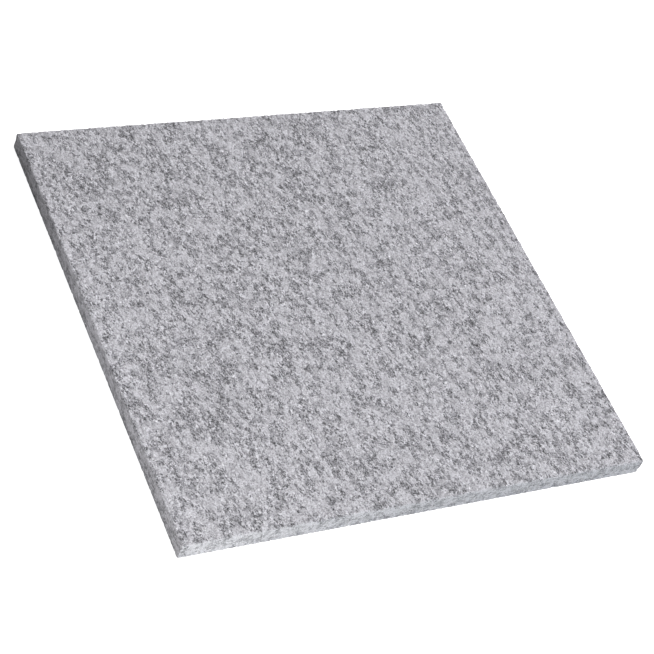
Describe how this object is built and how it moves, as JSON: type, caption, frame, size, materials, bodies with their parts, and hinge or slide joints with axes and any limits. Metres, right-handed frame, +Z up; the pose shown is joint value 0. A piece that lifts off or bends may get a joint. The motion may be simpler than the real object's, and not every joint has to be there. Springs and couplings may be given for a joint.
{
  "type": "granite slab",
  "caption": "Square granite bench slab with a flamed work face, sawn sides and a flat sawn underside, used as a hard base for stamping and punching leather.",
  "frame": {"origin": "centre of the sawn underside, on the surface that the slab rests on", "axes": "+Z up out of the flamed work face, +X and +Y square to the four sawn sides"},
  "size_m": [0.5, 0.5, 0.02],
  "materials": {
    "granite": "matte"
  },
  "bodies": {
    "root": {"granite_slab": "granite"}
  },
  "joints": []
}
